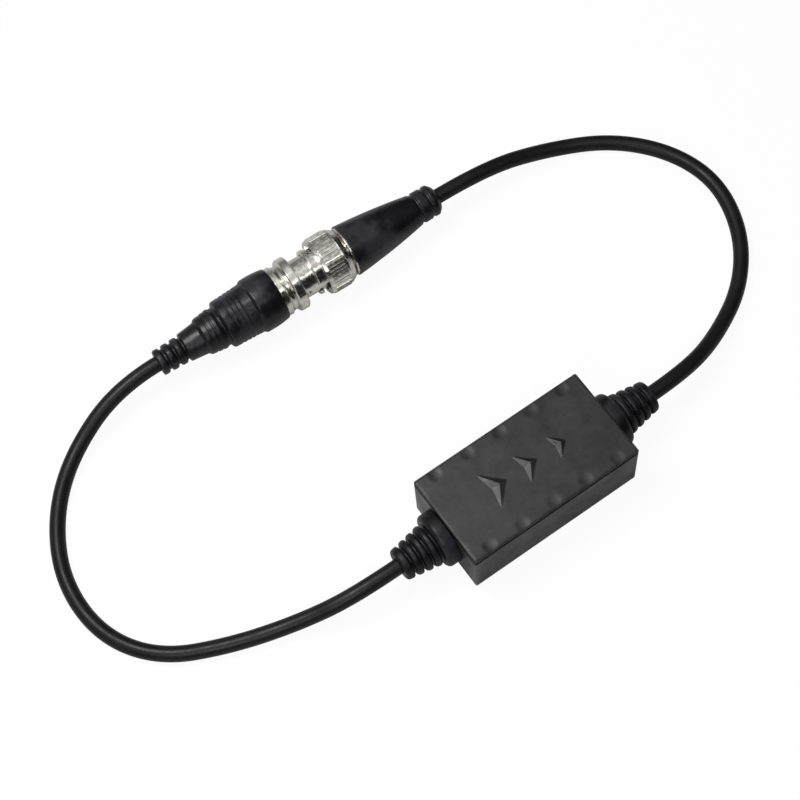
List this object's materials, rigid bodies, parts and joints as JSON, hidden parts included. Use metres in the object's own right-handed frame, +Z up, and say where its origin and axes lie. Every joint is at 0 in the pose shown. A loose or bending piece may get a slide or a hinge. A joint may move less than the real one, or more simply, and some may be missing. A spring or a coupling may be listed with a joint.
{
  "type": "video ground loop isolator",
  "caption": "Small inline isolator box on a coaxial lead with a bayonet jack on one end and a bayonet plug on the other, which stops hum bars from a ground loop in a video line.",
  "frame": {"origin": "middle of the case's underside", "axes": "+Z up through the lid, +X along the case from the input end to the output end, as its arrows point, +Y across the case towards the mated connectors"},
  "size_m": [0.1829, 0.0907, 0.016],
  "materials": {
    "case_plastic": "fine spark texture, satin",
    "relief_rubber": "satin moulded",
    "boot_rubber": "smooth satin moulded",
    "cable_jacket": "smooth, slightly glossy",
    "gasket_rubber": "matte silicone",
    "plated_metal": "bright nickel plate",
    "gold_contact": "gold plate",
    "white_insulator": "smooth white",
    "spring_steel": "plain rolled",
    "board_laminate": "solder mask",
    "ferrite": "sintered, dull",
    "copper_wire": "enamelled wire",
    "capacitor_film": "dipped, glossy",
    "resistor_coat": "painted body",
    "tinned_braid": "tinned strands"
  },
  "bodies": {
    "isolator": {"case_base": "case_plastic", "case_lid": "case_plastic", "input_strain_relief": "relief_rubber", "output_strain_relief": "relief_rubber", "circuit_board": "board_laminate", "ring_core": "ferrite", "input_winding": "copper_wire", "output_winding": "copper_wire", "coupling_capacitor": "capacitor_film", "bleed_resistor": "resistor_coat", "input_lead_end": "cable_jacket", "input_braid_tail": "tinned_braid", "output_lead_end": "cable_jacket", "output_braid_tail": "tinned_braid", "jack_body": "plated_metal", "jack_insulator": "white_insulator", "jack_contact": "gold_contact", "jack_boot": "boot_rubber", "jack_lead_end": "cable_jacket", "plug_body": "plated_metal", "plug_insulator": "white_insulator", "plug_pin": "gold_contact", "sealing_gasket": "gasket_rubber", "retaining_ring": "spring_steel", "wave_washer": "spring_steel", "plug_boot": "boot_rubber", "plug_lead_end": "cable_jacket", "input_cable": "cable_jacket", "output_cable": "cable_jacket"},
    "washer": {"thrust_washer": "spring_steel"},
    "collar": {"bayonet_collar": "plated_metal"}
  },
  "joints": [
    {"name": "collar_slide", "type": "slide", "parent": "isolator", "child": "washer", "axis": [0.9995, -0.0318, 0], "range_m": [0, 0.0005]},
    {"name": "collar_turn", "type": "hinge", "parent": "washer", "child": "collar", "pos_m": [-0.0123, 0.0718, 0.0073], "axis": [0.9995, -0.0318, 0], "range_deg": [0, 65]}
  ],
  "couplings": [
    {"joint": "collar_slide", "follows": "collar_turn", "m_per_rad": 0.00044}
  ]
}
